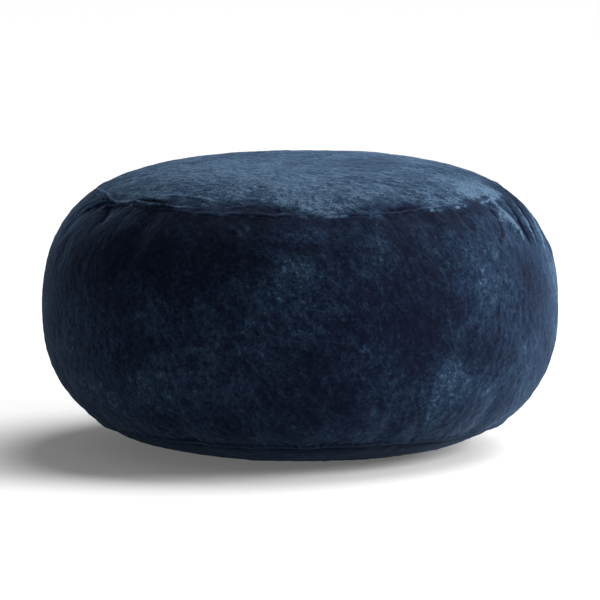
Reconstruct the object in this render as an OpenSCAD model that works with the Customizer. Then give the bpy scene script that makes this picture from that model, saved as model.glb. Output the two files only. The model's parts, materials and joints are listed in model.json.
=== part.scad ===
// Round plush floor cushion: a zipped outer cover of four panels over a zipped
// liner bag that holds shredded foam.
// The origin is on the floor under the middle of the cushion, +Z is up and -Y is
// the front. Every sewn panel is a strip of one rounded outline, revolved about Z.
// A place on the outline is an angle: 0 at the middle of the top, 90 at the widest
// line, 180 at the middle of the base. A depth is measured inwards from the pile.

/* [Cushion] */
// Widest diameter of the filled cushion
cushion_d = 900; // [880:10:920]
// Height of the filled cushion before the floor presses its base flat
free_height = 506; // [500:2:512]
// How much of that height the floor presses flat
pressed_flat = 6; // [5:1:8]
// Squareness of the outline seen along the radius
side_power = 3.48; // [3.3:0.02:3.6]
// Squareness of the outline seen along the height
crown_power = 2.43; // [2.35:0.01:2.5]

/* [Cover] */
// Thickness of the plush with its pile
plush_t = 4; // [3.8:0.1:4.2]
// Thickness of the turned-in hem along a seam
hem_t = 1; // [0.8:0.1:1.2]
// Width of the turned-in hem along a seam
hem_w = 10; // [8:1:12]
// Place on the outline where the top panel meets the side, and by mirror the base
seam_place = 42; // [41:0.5:43]
// Direction of the first upright seam, counter-clockwise from +X
side_seam_at = 295; // [280:5:310]
// Clearance between two sewn edges
seam_gap = 0.3; // [0.2:0.05:0.4]

/* [Cover zip] */
// Direction where the closed zip ends, counter-clockwise from +X
zip_from = 17; // [12:1:20]
// Direction where the zip begins
zip_to = 143; // [138:1:146]
// Width of the opening between the two panels, over the chain
zip_opening = 13; // [12.5:0.5:14]
// Width of one half of the nylon coil
coil_w = 2.4; // [2.2:0.1:2.6]
// Thickness of the coil
coil_t = 2.2; // [2.1:0.1:2.3]
// Length of the slider body
slider_l = 11; // [10:0.5:12]
// Length of the pull tab past its pivot
pull_l = 26; // [20:1:30]

/* [Liner] */
// Depth of the liner bag under the pile
liner_depth = 7; // [6.9:0.1:7.2]
// Thickness of the liner cloth
liner_t = 1; // [0.9:0.1:1]
// Length of the liner's zip
liner_zip_l = 360; // [340:5:370]

/* [Hidden] */
$fn = 96;

NAVY = [0.07, 0.13, 0.24];
THREAD = [0.05, 0.08, 0.16];
NYLON = [0.06, 0.09, 0.17];
METAL = [0.62, 0.63, 0.66];
LINER = [0.86, 0.86, 0.84];
FOAM = [0.90, 0.82, 0.66];
LABEL = [0.92, 0.92, 0.90];

radius = cushion_d / 2;
half_h = free_height / 2;
middle_z = half_h - pressed_flat;
top_seam = seam_place;
base_seam = 180 - seam_place;
// Place on the outline where the base starts to lie flat on the floor
flat_place = 180 - acos(pow(middle_z / half_h, crown_power / 2));
full_turn = 360;
step = 3;        // outline step in degrees
cut_past = 3;    // how far a cutting shape runs past the plush

// ---- The outline --------------------------------------------------------

// A point on the pile's surface, as [radius, height]
function pile_point(place) = [
    radius * pow(sin(place), 2 / side_power),
    middle_z + half_h * sign(cos(place)) * pow(abs(cos(place)), 2 / crown_power)
];

// The way the surface faces there
function facing(place) =
    let (p = pile_point(place),
         out = side_power / radius * pow(p[0] / radius, side_power - 1),
         up = crown_power / half_h * pow(abs(p[1] - middle_z) / half_h, crown_power - 1))
    [out, sign(p[1] - middle_z) * up] / norm([out, up]);

// A point at a depth under the pile, never below the pressed-flat base
function layer_point(place, depth) =
    let (p = pile_point(place) - depth * facing(place))
    [p[0], max(p[1], depth)];

// Degrees of outline that a length covers near the seams
function along(length) = length / norm(pile_point(seam_place + 0.5) - pile_point(seam_place - 0.5));

// One side of a layer, from one place to another in either direction
function edge(from, to, depth) =
    let (count = max(1, ceil(abs(to - from) / step)))
    [for (i = [0:count]) layer_point(from + (to - from) * i / count, depth)];

// A closed strip between two places and two depths
function strip(from, to, outer, inner) = concat(edge(from, to, outer), edge(to, from, inner));

// A strip whose ends are measured from a seam in millimetres
function seam_strip(seam, from, to, outer, inner) =
    strip(seam + along(from), seam + along(to), outer, inner);

module revolve(from, to) {
    rotate([0, 0, from]) rotate_extrude(angle = to - from) children();
}

// ---- Cover panels -------------------------------------------------------

hem_depth = plush_t + hem_t;
hem = along(hem_w);
gap = along(seam_gap / 2);
gap_turn = seam_gap / 2 / radius * 180 / PI;
hem_turn = hem_w / radius * 180 / PI;

thread_w = 1;
thread_depth = [plush_t - 0.2, plush_t + 0.8];
groove_w = 1.5;
groove_depth = [plush_t - 0.5, hem_depth + 1];
groove_turn = groove_w / radius * 180 / PI;
thread_turn = thread_w / radius * 180 / PI;

module seam_groove(seam) {
    rotate_extrude()
        polygon(seam_strip(seam, -groove_w / 2, groove_w / 2, groove_depth[0], groove_depth[1]));
}

module top_panel() {
    color(NAVY) difference() {
        rotate_extrude() polygon(concat(
            edge(0, top_seam - gap, 0),
            edge(top_seam - gap, top_seam - hem, hem_depth),
            edge(top_seam - hem, 0, plush_t)));
        seam_groove(top_seam);
    }
}

// One half of the side wall, between the two upright seams
module side_panel(from) {
    to = from + full_turn / 2;
    color(NAVY) difference() {
        union() {
            revolve(from + gap_turn, to - gap_turn) polygon(concat(
                edge(top_seam + gap, base_seam - gap, 0),
                edge(base_seam - gap, base_seam - hem, hem_depth),
                edge(base_seam - hem, top_seam + hem, plush_t),
                edge(top_seam + hem, top_seam + gap, hem_depth)));
            for (start = [from + gap_turn, to - hem_turn])
                revolve(start, start + hem_turn - gap_turn)
                    polygon(strip(top_seam + hem / 2, base_seam - hem / 2, plush_t / 2, hem_depth));
        }
        seam_groove(top_seam);
        seam_groove(base_seam);
        for (seam_at = [from, to])
            revolve(seam_at - groove_turn / 2, seam_at + groove_turn / 2)
                polygon(strip(top_seam, base_seam, groove_depth[0], groove_depth[1]));
        zip_room();
        label_slot();
    }
}

module base_panel() {
    color(NAVY) difference() {
        rotate_extrude() polygon(concat(
            edge(base_seam + gap, flat_place, 0),
            [[0, 0], [0, plush_t]],
            edge(flat_place, base_seam + hem, plush_t),
            edge(base_seam + hem, base_seam + gap, hem_depth)));
        seam_groove(base_seam);
        zip_room();
        label_slot();
    }
}

// ---- Seam threads -------------------------------------------------------

module seam_thread_profile(seam) {
    polygon(seam_strip(seam, -thread_w / 2, thread_w / 2, thread_depth[0], thread_depth[1]));
}

module top_seam_thread() {
    color(THREAD) rotate_extrude() seam_thread_profile(top_seam);
}

// The base seam is sewn only where there is no zip and no label
module base_seam_thread() {
    color(THREAD) {
        revolve(zip_room_to + 0.5, label_at - label_turn) seam_thread_profile(base_seam);
        revolve(label_at + label_turn, zip_room_from + full_turn - 0.5) seam_thread_profile(base_seam);
    }
}

module side_seam_threads() {
    // The seam behind ends above the zip
    short_of_base = [hem_w, zip_tape_w + 2];
    color(THREAD) for (i = [0, 1])
        rotate([0, 0, -i * full_turn / 2])
            revolve(side_seam_at - thread_turn / 2, side_seam_at + thread_turn / 2)
                polygon(strip(top_seam + hem / 4, base_seam - along(short_of_base[i]),
                    thread_depth[0], thread_depth[1]));
}

// ---- Care label ---------------------------------------------------------

label_w = 32;
label_t = 0.6;
label_at = zip_to + 12;
label_drop = 26;          // hanging length below the seam
label_reach = 3;          // how far it stands out before it turns down
label_turn = label_w / 2 / radius * 180 / PI + 1;
label_root = layer_point(base_seam, plush_t);
label_exit = layer_point(base_seam, -label_reach);

module label_slot() {
    revolve(label_at - label_turn, label_at + label_turn)
        polygon(seam_strip(base_seam, -0.8, 0.8, -cut_past, hem_depth + 1));
}

module care_label() {
    side = label_t / 2 * [facing(base_seam)[1], -facing(base_seam)[0]];
    down = [label_exit[0], label_exit[1] - label_drop];
    color(LABEL) revolve(label_at - label_turn + 0.5, label_at + label_turn - 0.5)
        polygon([
            label_root - side, label_exit - side + [0, label_t], label_exit + [label_t, 0],
            down + [label_t, 0], down, label_exit - [0, label_t], label_root + side
        ]);
}

// ---- Cover zip ----------------------------------------------------------

zip_room_from = zip_from - 3;
zip_room_to = zip_to + 3;
zip_tape_t = 0.6;
zip_tape_w = 17;                          // from the middle of the chain
tape_from = 0.5 + coil_w + 0.1;           // the tape starts beside its coil
chain_gap = 1;                            // between the two coils
chain_depth = plush_t + 0.6;              // middle of the chain and its tapes
stop_l = 3;

// The opening between the panels, and the room for the tapes under their edges
module zip_room() {
    room_w = zip_tape_w + 1;
    revolve(zip_room_from, zip_room_to) {
        polygon(seam_strip(base_seam, -zip_opening / 2, zip_opening / 2, -cut_past, hem_depth + 2));
        polygon(seam_strip(base_seam, -room_w, room_w, plush_t + 0.05, hem_depth + 2));
    }
}

module zip_strip(from, to, near, far, thickness) {
    revolve(from, to) polygon(
        seam_strip(base_seam, near, far, chain_depth - thickness / 2, chain_depth + thickness / 2));
}

module zip_tape(side) {
    color(NYLON) zip_strip(zip_room_from + 0.4, zip_room_to - 0.4,
        side * tape_from, side * zip_tape_w, zip_tape_t);
}

module zip_coil(side) {
    color(NYLON) zip_strip(zip_from, zip_to,
        side * chain_gap / 2, side * (chain_gap / 2 + coil_w), coil_t);
}

stop_turn = stop_l / radius * 180 / PI;

module zip_top_stops() {
    color(METAL) for (side = [-1, 1])
        zip_strip(zip_from - stop_turn - 0.1, zip_from - 0.1,
            side * chain_gap / 2, side * (chain_gap / 2 + coil_w), coil_t + 0.4);
}

module zip_bottom_stop() {
    color(METAL) zip_strip(zip_to + 0.1, zip_to + stop_turn + 0.1,
        -chain_gap / 2 - coil_w, chain_gap / 2 + coil_w, coil_t + 0.4);
}

// A slider drawn round its chain: +X along the zip towards its closed end, +Y across
// it, +Z out of the cushion, with the chain's middle at the origin
module slider_body(length, half_w, coil_half, plate, tape_half, bridge_half) {
    clear = 0.25;
    rail_w = 1.2;
    rail_clear = 0.2;
    for (face = [-1, 1]) {
        translate([-length / 2, -half_w, face > 0 ? coil_half + clear : -coil_half - clear - plate])
            cube([length, 2 * half_w, plate]);
        for (side = [-1, 1])
            translate([
                -length / 2,
                side > 0 ? half_w - rail_w : -half_w,
                face > 0 ? tape_half + rail_clear : -coil_half - clear - plate / 2
            ])
                cube([length, rail_w, coil_half + clear + plate / 2 - tape_half - rail_clear]);
    }
    translate([length / 2 - 3, -bridge_half, -coil_half - clear - plate / 2])
        cube([2.5, 2 * bridge_half, 2 * (coil_half + clear) + plate]);
}

slider_half_w = 4.6;
slider_plate = 0.8;
slider_at = zip_from + 1.2;               // direction of the slider with the zip closed
pivot_out = chain_depth - 0.5;            // the pull's pivot, out from the chain's middle
pivot_back = -0.5;                        // and along from the slider's middle
pivot_r = 0.9;
crown_w = 2;
pull_t = 1.4;
pull_w = 6.4;

// Puts a slider's own frame on the chain, at a direction round the cushion
module on_chain(at) {
    middle = layer_point(base_seam, chain_depth);
    tilt = atan2(facing(base_seam)[1], facing(base_seam)[0]);
    rotate([0, 0, at]) translate([middle[0], 0, middle[1]])
        rotate([0, 90 - tilt, 0]) rotate([0, 0, -90]) children();
}

module zip_slider() {
    crown_r = pivot_out - coil_t / 2 - slider_plate + pivot_r + 0.8;
    color(METAL) on_chain(slider_at) {
        slider_body(slider_l, slider_half_w, coil_t / 2, slider_plate, zip_tape_t / 2, chain_gap / 2 - 0.15);
        // The crown is an arch that holds the pull's bar
        translate([pivot_back, crown_w / 2, coil_t / 2 + slider_plate]) rotate([90, 0, 0])
            linear_extrude(crown_w) difference() {
                intersection() {
                    circle(crown_r);
                    translate([-crown_r, 0]) square([2 * crown_r, crown_r]);
                }
                translate([0, pivot_out - coil_t / 2 - slider_plate]) circle(pivot_r + 0.1);
            }
    }
}

module zip_pull_tab() {
    arm_from = crown_w / 2 + 0.3;
    arm_l = 5.5;
    color(METAL) on_chain(slider_at) translate([pivot_back, 0, pivot_out]) {
        rotate([90, 0, 0]) cylinder(r = pivot_r, h = 2 * arm_from + 1, center = true);
        // The tab lies back over the closed chain
        difference() {
            translate([0, 0, -pull_t / 2]) linear_extrude(pull_t) difference() {
                union() {
                    translate([-pull_l + pull_w / 2, -pull_w / 2]) square([pull_l - pull_w / 2, pull_w]);
                    translate([-pull_l + pull_w / 2, 0]) circle(pull_w / 2);
                }
                translate([-pull_l + pull_w / 2, 0]) circle(1.4);
            }
            // The fork that straddles the crown
            translate([-arm_l, -arm_from, -pull_t]) cube([arm_l + 1, 2 * arm_from, 2 * pull_t]);
        }
    }
}

// ---- Liner bag ----------------------------------------------------------

liner_in = liner_depth + liner_t;
liner_slot_half = 5;
liner_tape_w = 12;
liner_tape_t = 0.4;
liner_coil_w = 1.5;
liner_coil_t = 1.6;
liner_chain_gap = 0.7;
liner_chain_z = liner_in + 0.3;
liner_slider_l = 9;
liner_slider_half_w = 3.3;
liner_travel = liner_zip_l - liner_slider_l - 2;

module liner_top_panel() {
    color(LINER) rotate_extrude() polygon(strip(0, top_seam - gap, liner_depth, liner_in));
}

module liner_side_panel() {
    color(LINER) rotate_extrude()
        polygon(strip(top_seam + gap, base_seam - gap, liner_depth, liner_in));
}

module liner_base_panel() {
    color(LINER) difference() {
        rotate_extrude() polygon(concat(
            edge(base_seam + gap, flat_place, liner_depth),
            [[0, liner_depth], [0, liner_in]],
            edge(flat_place, base_seam + gap, liner_in)));
        translate([-liner_zip_l / 2 - 4, -liner_slot_half, 0])
            cube([liner_zip_l + 8, 2 * liner_slot_half, 2 * liner_in]);
    }
}

// The overlocked edges inside the liner's two round seams
module liner_seam_stitching() {
    color(LINER) for (seam = [top_seam, base_seam])
        rotate_extrude() polygon(seam_strip(seam, -1.5, 1.5, liner_in + 0.1, liner_in + 0.9));
}

module liner_bar(from_y, to_y, thickness, length) {
    translate([-length / 2, min(from_y, to_y), liner_chain_z - thickness / 2])
        cube([length, abs(to_y - from_y), thickness]);
}

module liner_zip_tape(side) {
    color(LINER) liner_bar(side * (liner_chain_gap / 2 + liner_coil_w + 0.1), side * liner_tape_w,
        liner_tape_t, liner_zip_l + 16);
}

module liner_zip_coil(side) {
    color(LINER) liner_bar(side * liner_chain_gap / 2, side * (liner_chain_gap / 2 + liner_coil_w),
        liner_coil_t, liner_zip_l);
}

module liner_zip_stops() {
    half_w = liner_chain_gap / 2 + liner_coil_w;
    color(METAL) for (end = [-1, 1])
        translate([end * (liner_zip_l / 2 + 1.6) - 1.5, -half_w, liner_chain_z - liner_coil_t / 2 - 0.1])
            cube([3, 2 * half_w, liner_coil_t + 0.2]);
}

// The liner's slider has no pull, so that it can't be opened by hand
module liner_zip_slider() {
    color(METAL) translate([liner_travel / 2, 0, liner_chain_z])
        slider_body(liner_slider_l, liner_slider_half_w, liner_coil_t / 2, 0.7,
            liner_tape_t / 2, liner_chain_gap / 2 - 0.12);
}

// ---- Filling ------------------------------------------------------------

foam_depth = liner_in + 1.2;

module foam_fill() {
    groove_half = liner_slider_half_w + 1;
    color(FOAM) difference() {
        rotate_extrude() polygon(concat(
            edge(0, flat_place, foam_depth), [[0, foam_depth]]));
        // The dent that the liner's zip presses into the foam
        translate([-liner_zip_l / 2 - 6, -groove_half, 0])
            cube([liner_zip_l + 12, 2 * groove_half, foam_depth + 1.6]);
    }
}

top_panel();  // cover_top_panel
side_panel(side_seam_at - full_turn / 2);  // cover_side_panel_left
side_panel(side_seam_at);  // cover_side_panel_right
base_panel();  // cover_base_panel
top_seam_thread();  // cover_top_seam_thread
base_seam_thread();  // cover_base_seam_thread
side_seam_threads();  // cover_side_seam_threads
care_label();
zip_tape(-1);  // zip_tape_side
zip_tape(1);  // zip_tape_base
zip_coil(-1);  // zip_coil_side
zip_coil(1);  // zip_coil_base
zip_top_stops();
zip_bottom_stop();
zip_slider();
zip_pull_tab();
liner_top_panel();
liner_side_panel();
liner_base_panel();
liner_seam_stitching();
liner_zip_tape(-1);  // liner_zip_tape_front
liner_zip_tape(1);  // liner_zip_tape_back
liner_zip_coil(-1);  // liner_zip_coil_front
liner_zip_coil(1);  // liner_zip_coil_back
liner_zip_stops();
liner_zip_slider();
foam_fill();
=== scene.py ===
"""Looks of the round plush floor cushion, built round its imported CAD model.

Everything is in metres, and the front faces -Y. A point on the cushion is given by its arc, the distance
along the outline from the middle of the top, and its turn, in degrees counter-clockwise from +X. Tables
give the place along the outline in degrees: 0 in the middle of the top and 180 in the middle of the base.
"""
import json
import math
from itertools import product

import bmesh
import bpy
import numpy as np
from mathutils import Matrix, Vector
from mathutils.kdtree import KDTree

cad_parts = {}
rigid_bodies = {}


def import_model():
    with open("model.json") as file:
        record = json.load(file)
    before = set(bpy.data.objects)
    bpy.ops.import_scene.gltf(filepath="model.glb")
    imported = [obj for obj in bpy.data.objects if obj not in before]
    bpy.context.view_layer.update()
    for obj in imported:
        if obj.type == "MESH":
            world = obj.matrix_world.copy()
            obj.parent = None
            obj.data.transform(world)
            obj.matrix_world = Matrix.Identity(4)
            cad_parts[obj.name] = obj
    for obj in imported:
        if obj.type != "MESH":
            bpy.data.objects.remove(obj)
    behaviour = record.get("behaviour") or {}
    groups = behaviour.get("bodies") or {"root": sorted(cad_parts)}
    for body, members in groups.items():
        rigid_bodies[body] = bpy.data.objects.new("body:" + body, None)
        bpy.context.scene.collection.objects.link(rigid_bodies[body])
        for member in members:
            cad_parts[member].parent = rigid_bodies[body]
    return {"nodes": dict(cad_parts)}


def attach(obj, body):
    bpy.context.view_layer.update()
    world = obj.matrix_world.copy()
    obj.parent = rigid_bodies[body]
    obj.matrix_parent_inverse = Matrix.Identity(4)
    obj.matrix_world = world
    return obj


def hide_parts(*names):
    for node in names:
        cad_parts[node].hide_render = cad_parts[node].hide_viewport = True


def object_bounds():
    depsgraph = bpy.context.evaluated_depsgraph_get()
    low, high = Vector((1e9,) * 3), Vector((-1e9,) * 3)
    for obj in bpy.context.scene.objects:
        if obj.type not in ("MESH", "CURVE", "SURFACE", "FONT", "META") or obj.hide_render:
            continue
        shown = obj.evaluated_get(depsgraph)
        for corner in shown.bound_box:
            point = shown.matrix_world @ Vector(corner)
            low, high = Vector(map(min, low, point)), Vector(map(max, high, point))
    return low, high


for thing in list(bpy.data.objects):
    bpy.data.objects.remove(thing)
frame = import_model()
cad_low, cad_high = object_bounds()

# The facts that the CAD model is built to
MM = 0.001
RADIUS = cad_high.x
PRESSED_FLAT = 6 * MM      # depth that the floor presses flat
HALF_HEIGHT = (cad_high.z + PRESSED_FLAT) / 2
MIDDLE_Z = HALF_HEIGHT - PRESSED_FLAT
SIDE_POWER = 3.48
CROWN_POWER = 2.43
SEAM_PLACE = 42            # of the top seam, and the base seam is as far from the base's middle
SIDE_SEAM_TURN = 295       # of one upright seam, and the other is opposite
ZIP_ROOM = (14, 146)       # turns between which the zip lies
ZIP_HALF_OPENING = 6.5 * MM
LABEL_TURN = 155
PLUSH = 4 * MM             # thickness with the pile
BODY = "cushion"


# ---- The outline ----

def trace_outline(floor):
    """Arc, radius, height and facing direction along the outline, closely spaced and flat at the floor."""
    place = np.pi / 2 * (1 - np.cos(np.linspace(0, np.pi, 4001)))
    level = np.sign(np.cos(place)) * np.abs(np.cos(place)) ** (2 / CROWN_POWER)
    radius = RADIUS * np.maximum(np.sin(place), 0) ** (2 / SIDE_POWER)
    height = np.maximum(MIDDLE_Z + HALF_HEIGHT * level, floor)
    out = SIDE_POWER / RADIUS * (radius / RADIUS) ** (SIDE_POWER - 1)
    up = np.sign(level) * CROWN_POWER / HALF_HEIGHT * np.abs(level) ** (CROWN_POWER - 1)
    out[height == floor] = 0
    length = np.hypot(out, up)
    arc = np.concatenate([[0], np.cumsum(np.hypot(np.diff(radius), np.diff(height)))])
    return {"place": place, "arc": arc, "radius": radius, "height": height,
            "out": out / length, "up": up / length}


OUTLINE = trace_outline(floor=0)
FREE_OUTLINE = trace_outline(floor=-1)    # as the cushion is before the floor presses it
ARC_END = OUTLINE["arc"][-1]


def arc_at(place_degrees):
    return float(np.interp(math.radians(place_degrees), OUTLINE["place"], OUTLINE["arc"]))


TOP_SEAM = arc_at(SEAM_PLACE)
BASE_SEAM = arc_at(180 - SEAM_PLACE)


def on_surface(arc, turn, rise, outline=OUTLINE):
    """Points at a rise above the pile's surface, for arrays of arcs and turns in degrees."""
    place = np.interp(arc, OUTLINE["arc"], OUTLINE["place"])
    radius, height, out, up = (np.interp(place, outline["place"], outline[name])
                               for name in ("radius", "height", "out", "up"))
    radius = radius + rise * out
    angle = np.radians(turn)
    return np.stack([radius * np.cos(angle), radius * np.sin(angle), height + rise * up], axis=-1)


def round_ring(turn):
    """Points on one circle, for noise that changes only with the turn."""
    angle = np.radians(turn)
    return np.stack([np.cos(angle), np.sin(angle), 0 * angle], axis=-1) * RADIUS


# ---- Noise ----

def random_at(cell, seed):
    """A steady random number from -1 to 1 for each whole-numbered cell."""
    mixed = (cell[..., 0] * 73856093) ^ (cell[..., 1] * 19349663) ^ (cell[..., 2] * 83492791)
    mixed = (mixed ^ (seed * 2654435761)) & 0xFFFFFFFF
    mixed = ((mixed ^ (mixed >> 15)) * 2246822519) & 0xFFFFFFFF
    mixed = ((mixed ^ (mixed >> 13)) * 3266489917) & 0xFFFFFFFF
    return ((mixed ^ (mixed >> 16)) & 0xFFFF) / 32767.5 - 1


def noise(points, size, seed):
    """Smooth noise from -1 to 1, with lumps of one size."""
    scaled = points / size
    cell = np.floor(scaled).astype(np.int64)
    part = scaled - cell
    part = part * part * (3 - 2 * part)
    total = np.zeros(points.shape[:-1])
    for corner in product((0, 1), repeat=3):
        weight = np.prod(np.where(corner, part, 1 - part), axis=-1)
        total += weight * random_at(cell + np.array(corner), seed)
    return total


def layered_noise(points, size, seed, layers, keep=0.5):
    """Noise with finer layers added, each as strong as the last one times keep."""
    total = sum(noise(points, size / 2 ** i, seed + i) * keep ** i for i in range(layers))
    return total / sum(keep ** i for i in range(layers))


def smooth_step(value, low, high):
    part = np.clip((value - low) / (high - low), 0, 1)
    return part * part * (3 - 2 * part)


def fading_ends(share, start, end):
    """0 at both ends of a line and 1 from its start share to its end share."""
    return smooth_step(share, 0, start) * (1 - smooth_step(share, end, 1))


def hump(distance, width):
    """1 at no distance, falling smoothly to nearly 0 at twice the width."""
    return np.exp(-(distance / width) ** 2)


# ---- Places that stay as the CAD model has them ----

def turn_gap(turn, centre):
    """Degrees between two directions, from -180 to 180."""
    return (turn - centre + 180) % 360 - 180


def zip_share(turn, past=0, fade=2.5):
    """1 along the zip's room, and on past its ends by some degrees, then fading to 0."""
    middle = sum(ZIP_ROOM) / 2
    half = (ZIP_ROOM[1] - ZIP_ROOM[0]) / 2 + past
    return 1 - smooth_step(np.abs(turn_gap(turn, middle)), half, half + fade)


def freedom(arc, turn):
    """0 round the zip and the label, which are stiff CAD parts, and 1 elsewhere."""
    along = np.maximum(zip_share(turn), 1 - smooth_step(np.abs(turn_gap(turn, LABEL_TURN)), 4, 7))
    across = 1 - smooth_step(np.abs(arc - BASE_SEAM), 20 * MM, 60 * MM)
    return 1 - along * across


# ---- Grids of points ----

def disc_faces(rings, first=0):
    """Triangles of a disc of rings, where ring i has 6 i points."""
    start = [first] + [first + 1 + 3 * i * (i - 1) for i in range(1, rings + 1)]
    faces = []
    for i in range(rings):
        inner, outer = max(6 * i, 1), 6 * (i + 1)
        for part in range(6):
            for j in range(i + 1):
                a = start[i] + (part * i + j) % inner
                b = start[i + 1] + (part * (i + 1) + j) % outer
                c = start[i + 1] + (part * (i + 1) + j + 1) % outer
                faces.append((a, b, c))
                if j < i:
                    faces.append((a, c, start[i] + (part * i + j + 1) % inner))
    return faces


def disc_points(rings):
    """Share of the radius and turn in degrees of each point of a disc."""
    share = [0.0]
    turn = [0.0]
    for i in range(1, rings + 1):
        share += [i / rings] * (6 * i)
        turn += [60 * k / i for k in range(6 * i)]
    return np.array(share), np.array(turn)


def band_faces(rows, columns, closed, first=0):
    """Quads between rows of points. A closed band joins its last column to its first."""
    faces = []
    for i in range(rows - 1):
        for j in range(columns if closed else columns - 1):
            k = (j + 1) % columns
            a, b = first + i * columns, first + (i + 1) * columns
            faces.append((a + j, b + j, b + k, a + k))
    return faces


def add_object(name, data):
    piece = bpy.data.objects.new(name, data)
    bpy.context.scene.collection.objects.link(piece)
    return piece


def make_mesh(name, points, faces):
    mesh = bpy.data.meshes.new(name)
    mesh.from_pydata([tuple(p) for p in points], [], faces)
    mesh.validate()
    mesh.shade_smooth()
    return add_object(name, mesh)


def finish_piece(piece, slot, nodes, body=BODY):
    """Gives a piece its body and the material of its slot, and hides the CAD nodes that it stands for."""
    piece.data.materials.append(MATERIALS.get(piece.name, MATERIALS[slot]))
    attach(piece, body)
    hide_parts(*nodes)


def apply_modifiers(piece):
    evaluated = piece.evaluated_get(bpy.context.evaluated_depsgraph_get())
    piece.data = bpy.data.meshes.new_from_object(evaluated)
    piece.modifiers.clear()


def thicken(piece, thickness):
    """Turns a sheet into a thin closed piece."""
    thick = piece.modifiers.new("thick", "SOLIDIFY")
    thick.thickness = thickness
    thick.offset = 0
    apply_modifiers(piece)


# ---- Cloth simulation ----

SIM_RINGS = 40
SIM_ROWS = 44
SIM_FRAMES = 20
SIM_CAP = 9 * MM           # most that the cloth may move off the outline
SIM_NEAREST = 9            # points that the look-up blends, and how far it reaches
SIM_REACH = 9 * MM


def closed_shell(rings, rows):
    """The whole cushion as one closed shell: top disc, side rows and base disc."""
    share, turn = disc_points(rings)
    around = 6 * rings
    row_arc = np.linspace(TOP_SEAM, BASE_SEAM, rows + 1)[1:-1]
    ring_turn = turn[-around:]
    arc = np.concatenate([share * TOP_SEAM, np.repeat(row_arc, around),
                          ARC_END - share * (ARC_END - BASE_SEAM)])
    turns = np.concatenate([turn, np.tile(ring_turn, len(row_arc)), turn])
    top_count = len(share)
    base_first = top_count + around * len(row_arc)
    faces = disc_faces(rings)
    faces += band_faces(rows, around, True, top_count - around)
    last_row, base_edge = base_first - around, len(arc) - around
    faces += [(last_row + j, base_edge + j, base_edge + (j + 1) % around, last_row + (j + 1) % around)
              for j in range(around)]
    faces += [face[::-1] for face in disc_faces(rings, base_first)]
    return arc, turns, faces


def seam_weight(arc, points):
    """Up to 1 on the sewn seams, which are drawn in unevenly, and 0 on the free cloth."""
    on_seam = np.minimum(np.abs(arc - TOP_SEAM), np.abs(arc - BASE_SEAM)) < 4 * MM
    uneven = 0.6 + 0.4 * noise(points, 70 * MM, 11)
    return np.where(on_seam, np.clip(uneven, 0, 1), 0.0)


def run_cloth(piece, weight):
    """Inflates the shell while its seams are drawn in, and returns its points."""
    group = piece.vertex_groups.new(name="seams")
    for i in np.flatnonzero(weight):
        group.add([int(i)], float(weight[i]), "REPLACE")
    cloth = piece.modifiers.new("cloth", "CLOTH")
    settings = cloth.settings
    settings.quality = 5
    settings.mass = 0.3
    settings.tension_stiffness = settings.compression_stiffness = 20
    settings.shear_stiffness = 8
    settings.bending_stiffness = 4
    settings.tension_damping = settings.compression_damping = settings.shear_damping = 20
    settings.use_pressure = True
    settings.uniform_pressure_force = 4
    settings.vertex_group_shrink = "seams"
    settings.shrink_min = -0.012
    settings.shrink_max = 0.045
    settings.effector_weights.gravity = 0
    cloth.collision_settings.use_collision = False
    cloth.point_cache.frame_start, cloth.point_cache.frame_end = 1, SIM_FRAMES
    for number in range(1, SIM_FRAMES + 1):
        bpy.context.scene.frame_set(number)
    evaluated = piece.evaluated_get(bpy.context.evaluated_depsgraph_get())
    points = np.empty(len(piece.data.vertices) * 3)
    evaluated.data.vertices.foreach_get("co", points)
    bpy.context.scene.frame_set(1)
    return points.reshape(-1, 3)


def ring_drift(values, arc, turn):
    """The part of the values that is even, or changes only slowly, round each ring."""
    ring = np.round(arc / (0.5 * MM)).astype(int)
    count = np.maximum(np.bincount(ring), 1)
    drift = (np.bincount(ring, values) / count)[ring]
    for waves in (1, 2, 3):
        for wave in (np.cos(np.radians(waves * turn)), np.sin(np.radians(waves * turn))):
            drift += 2 * (np.bincount(ring, values * wave) / count)[ring] * wave
    return np.where(arc < 20 * MM, values, drift)


def settle_cover():
    """How far the cloth moves off the plain outline, as points and their rise."""
    arc, turn, faces = closed_shell(SIM_RINGS, SIM_ROWS)
    start = on_surface(arc, turn, 0)
    free = on_surface(arc, turn, 0, FREE_OUTLINE)
    facing = on_surface(arc, turn, 1, FREE_OUTLINE) - free
    uneven = 2 * MM * layered_noise(free, 90 * MM, 21, 2)
    shell = make_mesh("sim_shell", free + uneven[:, None] * facing, faces)
    moved = run_cloth(shell, seam_weight(arc, free))
    bpy.data.objects.remove(shell)
    rise = np.einsum("ij,ij->i", moved - free, facing)
    rise -= ring_drift(rise, arc, turn)
    return start, SIM_CAP * np.tanh(rise / SIM_CAP)


SIM_POINTS, SIM_RISE = settle_cover()
SIM_TREE = KDTree(len(SIM_POINTS))
for index, point in enumerate(SIM_POINTS):
    SIM_TREE.insert(point, index)
SIM_TREE.balance()


def cloth_rise(points):
    """The simulated rise at any points near the surface."""
    near = [SIM_TREE.find_n(point, SIM_NEAREST) for point in points]
    found = np.array([[(index, distance) for _, index, distance in row] for row in near])
    weight = hump(found[..., 1], SIM_REACH)
    rise = SIM_RISE[found[..., 0].astype(int)]
    return (weight * rise).sum(axis=1) / weight.sum(axis=1)


# ---- Shape of the cover off the plain outline ----

CLOTH_SHARE = 0.55         # how much of the simulated rise the thick plush shows
LIP = 2.6 * MM             # how far the side panel stands out over the base seam
TUCK = 3 * MM              # how far the base panel is drawn in beside it
TOP_LIP = 1.4 * MM         # how far the top panel stands out along the top seam
STUFFING = 2.2 * MM        # slow unevenness of the filling
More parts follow.
